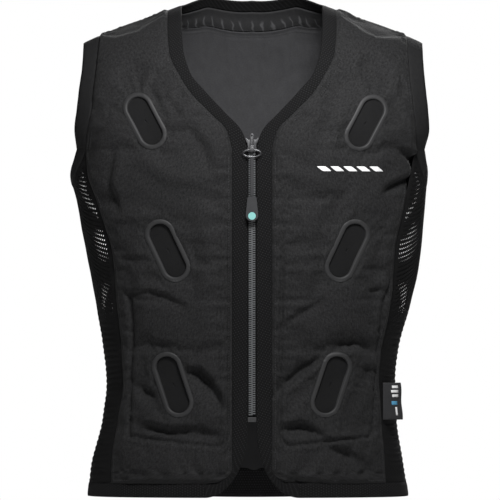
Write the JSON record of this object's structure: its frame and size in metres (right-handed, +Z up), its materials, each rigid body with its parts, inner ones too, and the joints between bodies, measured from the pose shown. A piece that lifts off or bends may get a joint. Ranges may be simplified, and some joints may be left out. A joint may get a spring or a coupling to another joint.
{
  "type": "cooling vest",
  "caption": "Sleeveless zip-front cooling vest with padded front panels, slanted vent windows, open-mesh sides and knit edge bands, shown worn and hollow.",
  "frame": {"origin": "on the wearer's mid plane at the height of the shoulder beside the neck, above the shoulder line", "axes": "+Z up, +X towards the wearer's left, -Y out of the chest where the zip is"},
  "size_m": [0.4376, 0.2738, 0.6137],
  "materials": {
    "front_fabric": "matt smooth stretch fabric",
    "window_fabric": "matt fine mesh",
    "back_fabric": "matt smooth stretch fabric",
    "lining": "smooth lining",
    "band_knit": "textured spacer knit",
    "side_mesh": "open-hole knit mesh",
    "zip_tape": "woven zip tape",
    "zip_coil": "moulded grey teeth",
    "slider_metal": "dark satin metal",
    "pull_rubber": "satin moulded rubber",
    "inlay": "pale teal inlay",
    "label_cloth": "woven label"
  },
  "bodies": {
    "vest": {"front_panel_left": "front_fabric", "front_panel_right": "front_fabric", "window_left_top": "window_fabric", "window_left_middle": "window_fabric", "window_left_bottom": "window_fabric", "window_right_top": "window_fabric", "window_right_middle": "window_fabric", "window_right_bottom": "window_fabric", "back_panel": "back_fabric", "back_lining": "lining", "back_hem_facing": "lining", "neck_facing": "band_knit", "neck_band_back": "band_knit", "front_band_left": "band_knit", "front_band_right": "band_knit", "armhole_band_left": "band_knit", "armhole_band_right": "band_knit", "hem_band_left": "band_knit", "hem_band_right": "band_knit", "hem_band_back": "band_knit", "side_panel_left": "side_mesh", "side_panel_right": "side_mesh", "zip_tape_left": "zip_tape", "zip_tape_right": "zip_tape", "zip_coil_left": "zip_coil", "zip_coil_right": "zip_coil", "zip_box": "slider_metal", "slider_body": "slider_metal", "side_label": "label_cloth"},
    "pull": {"pull_ring": "slider_metal", "pull_strap": "pull_rubber", "pull_grip": "pull_rubber", "grip_dot": "inlay"}
  },
  "joints": [
    {"name": "pull_swing", "type": "hinge", "parent": "vest", "child": "pull", "pos_m": [0, -0.1394, -0.167], "axis": [-1, 0, 0], "range_deg": [0, 130]}
  ]
}
